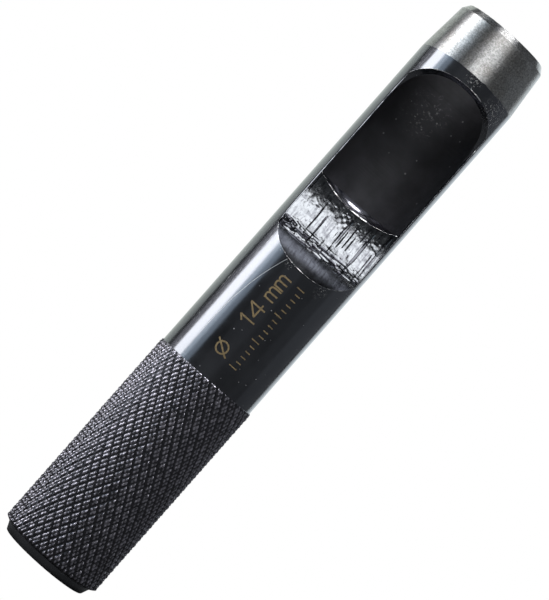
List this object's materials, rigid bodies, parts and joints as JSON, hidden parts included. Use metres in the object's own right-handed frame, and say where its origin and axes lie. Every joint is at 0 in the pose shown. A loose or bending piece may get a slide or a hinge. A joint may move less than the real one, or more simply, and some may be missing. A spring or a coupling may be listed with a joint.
{
  "type": "drive hole punch",
  "caption": "One-piece hollow drive punch with a knurled grip, a side window for slugs and a bevelled ring edge that cuts round holes in leather and gaskets.",
  "frame": {"origin": "centre of the flat strike face, on which the tool stands", "axes": "+Z along the tool's axis towards the cutting edge; the slug window faces -Y; +X is to the right seen from the window side"},
  "size_m": [0.0176, 0.0176, 0.104],
  "materials": {
    "strike_end": "black oxide on turned steel, satin",
    "knurled_grip": "black oxide on diamond knurling, satin",
    "shank": "black oxide on polished steel, glossy",
    "slug_ramp": "rough milled steel, black oxide worn bright",
    "slotted_barrel": "black oxide on polished steel, glossy",
    "cutting_head": "ground bright steel",
    "cutting_edge": "fine-ground bright steel",
    "size_mark": "dull gold marking"
  },
  "bodies": {
    "root": {"strike_end": "strike_end", "knurled_grip": "knurled_grip", "shank": "shank", "slug_ramp": "slug_ramp", "slotted_barrel": "slotted_barrel", "cutting_head": "cutting_head", "cutting_edge": "cutting_edge", "size_mark": "size_mark"}
  },
  "joints": []
}
